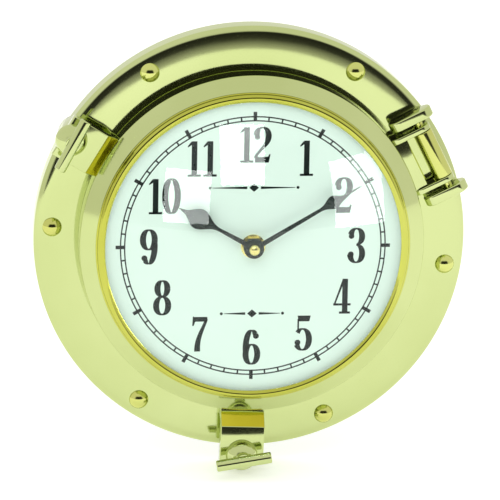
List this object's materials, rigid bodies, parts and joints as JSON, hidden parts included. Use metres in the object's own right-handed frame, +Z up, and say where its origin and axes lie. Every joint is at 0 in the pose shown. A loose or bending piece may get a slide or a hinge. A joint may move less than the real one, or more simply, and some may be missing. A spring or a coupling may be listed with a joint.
{
  "type": "ships deck clock",
  "caption": "Round wall clock in a cast brass porthole case: hinged glazed door held by screw dogs, domed glass, white dial, spade hands and battery movement.",
  "frame": {"origin": "centre of the flange's back rim, on the wall", "axes": "+Z up, the dial faces -Y, +X to the right of somebody reading the dial"},
  "size_m": [0.2324, 0.0532, 0.241],
  "materials": {
    "polished_brass": "mirror polished",
    "rivet_brass": "mirror polished",
    "bead_brass": "mirror polished",
    "black_plate": "satin black paint",
    "zinc_steel": "zinc plated",
    "dial_face": "printed, satin white",
    "hand_black": "black lacquer",
    "domed_glass": "clear, polished",
    "seal_rubber": "matt",
    "movement_plastic": "moulded",
    "gear_nylon": "moulded",
    "turned_brass": "turned",
    "coil_copper": "enamelled copper wire",
    "board_green": "solder mask",
    "battery_can": "printed can"
  },
  "bodies": {
    "case": {"flange": "polished_brass", "flange_skirt": "polished_brass", "collar": "polished_brass", "hinge_ears": "polished_brass", "dog_bosses": "polished_brass", "hanger_posts": "polished_brass", "rivets": "rivet_brass", "hinge_pin": "rivet_brass", "back_plate": "black_plate", "back_plate_screws": "zinc_steel", "hanger": "zinc_steel", "hanger_screws": "zinc_steel", "dial": "dial_face", "dial_nut": "turned_brass", "dial_washer": "turned_brass", "dial_gasket": "seal_rubber", "movement_case": "movement_plastic", "movement_cover": "movement_plastic", "movement_bridge": "gear_nylon", "shaft_bush": "turned_brass", "stator": "zinc_steel", "coil": "coil_copper", "circuit_board": "board_green", "contact_plus": "zinc_steel", "contact_minus": "zinc_steel"},
    "door": {"door_ring": "polished_brass", "door_front": "polished_brass", "door_lugs": "polished_brass", "hinge_bracket": "polished_brass", "bezel_bead": "bead_brass", "glass": "domed_glass", "glass_gasket": "seal_rubber", "glass_retainer": "turned_brass", "hinge_barrel": "rivet_brass"},
    "dog_left_lift": {"dog_left_cup": "polished_brass"},
    "dog_left_turn": {"dog_left_screw": "polished_brass", "dog_left_bar": "polished_brass"},
    "dog_bottom_lift": {"dog_bottom_cup": "polished_brass"},
    "dog_bottom_turn": {"dog_bottom_screw": "polished_brass", "dog_bottom_bar": "polished_brass"},
    "minute": {"minute_hand": "hand_black", "minute_cap_nut": "turned_brass", "cannon_pinion": "turned_brass"},
    "hour": {"hour_hand": "hand_black", "hour_wheel": "gear_nylon"},
    "motion": {"motion_wheel": "gear_nylon"},
    "knob": {"setting_knob": "movement_plastic"},
    "seconds": {"seconds_wheel": "gear_nylon"},
    "rotor_body": {"rotor": "zinc_steel"},
    "intermediate": {"intermediate_wheel": "gear_nylon"},
    "third": {"third_wheel": "gear_nylon"},
    "centre": {"centre_wheel": "gear_nylon"},
    "cell": {"battery": "battery_can"}
  },
  "joints": [
    {"name": "door_hinge", "type": "hinge", "parent": "case", "child": "door", "pos_m": [0.09665, -0.0215, 0.04819], "axis": [-0.4462, 0, 0.8949], "range_deg": [0, 140]},
    {"name": "dog_left_lift", "type": "slide", "parent": "door", "child": "dog_left_lift", "axis": [0, -1, 0], "range_m": [0, 0.0063]},
    {"name": "dog_left_turn", "type": "hinge", "parent": "dog_left_lift", "child": "dog_left_turn", "pos_m": [-0.09729, -0.033, 0.05846], "axis": [0, -1, 0], "range_deg": [0, 1800]},
    {"name": "dog_bottom_lift", "type": "slide", "parent": "door", "child": "dog_bottom_lift", "axis": [0, -1, 0], "range_m": [0, 0.0063]},
    {"name": "dog_bottom_turn", "type": "hinge", "parent": "dog_bottom_lift", "child": "dog_bottom_turn", "pos_m": [-0.00407, -0.033, -0.11643], "axis": [0, -1, 0], "range_deg": [0, 1800]},
    {"name": "minute_turn", "type": "hinge", "parent": "case", "child": "minute", "pos_m": [0, -0.037, 0], "axis": [0, -1, 0], "continuous": true},
    {"name": "hour_turn", "type": "hinge", "parent": "case", "child": "hour", "pos_m": [0, -0.034, 0], "axis": [0, -1, 0], "continuous": true},
    {"name": "motion_turn", "type": "hinge", "parent": "case", "child": "motion", "pos_m": [-0.006, -0.023, 0.01039], "axis": [0, -1, 0], "continuous": true},
    {"name": "knob_turn", "type": "hinge", "parent": "case", "child": "knob", "pos_m": [0.00488, -0.01, 0.01546], "axis": [0, -1, 0], "continuous": true},
    {"name": "seconds_turn", "type": "hinge", "parent": "case", "child": "seconds", "pos_m": [0, -0.017, 0], "axis": [0, -1, 0], "continuous": true},
    {"name": "rotor_turn", "type": "hinge", "parent": "case", "child": "rotor_body", "pos_m": [-0.01647, -0.018, 0.00009], "axis": [0, -1, 0], "continuous": true},
    {"name": "intermediate_turn", "type": "hinge", "parent": "case", "child": "intermediate", "pos_m": [-0.00909, -0.015, 0.00525], "axis": [0, -1, 0], "continuous": true},
    {"name": "third_turn", "type": "hinge", "parent": "case", "child": "third", "pos_m": [0.00883, -0.019, 0.0051], "axis": [0, -1, 0], "continuous": true},
    {"name": "centre_turn", "type": "hinge", "parent": "case", "child": "centre", "pos_m": [0, -0.0207, 0], "axis": [0, -1, 0], "continuous": true},
    {"name": "battery_slide", "type": "slide", "parent": "case", "child": "cell", "axis": [0, 1, 0], "range_m": [0, 0.03]}
  ],
  "couplings": [
    {"joint": "dog_left_lift", "follows": "dog_left_turn", "m_per_rad": 0.00019894},
    {"joint": "dog_bottom_lift", "follows": "dog_bottom_turn", "m_per_rad": 0.00019894},
    {"joint": "hour_turn", "follows": "minute_turn", "ratio": 0.083333},
    {"joint": "motion_turn", "follows": "minute_turn", "ratio": -0.33333},
    {"joint": "knob_turn", "follows": "minute_turn", "ratio": 1},
    {"joint": "rotor_turn", "follows": "seconds_turn", "ratio": 30},
    {"joint": "intermediate_turn", "follows": "seconds_turn", "ratio": -6},
    {"joint": "third_turn", "follows": "seconds_turn", "ratio": -0.13333},
    {"joint": "centre_turn", "follows": "seconds_turn", "ratio": 0.016667}
  ]
}
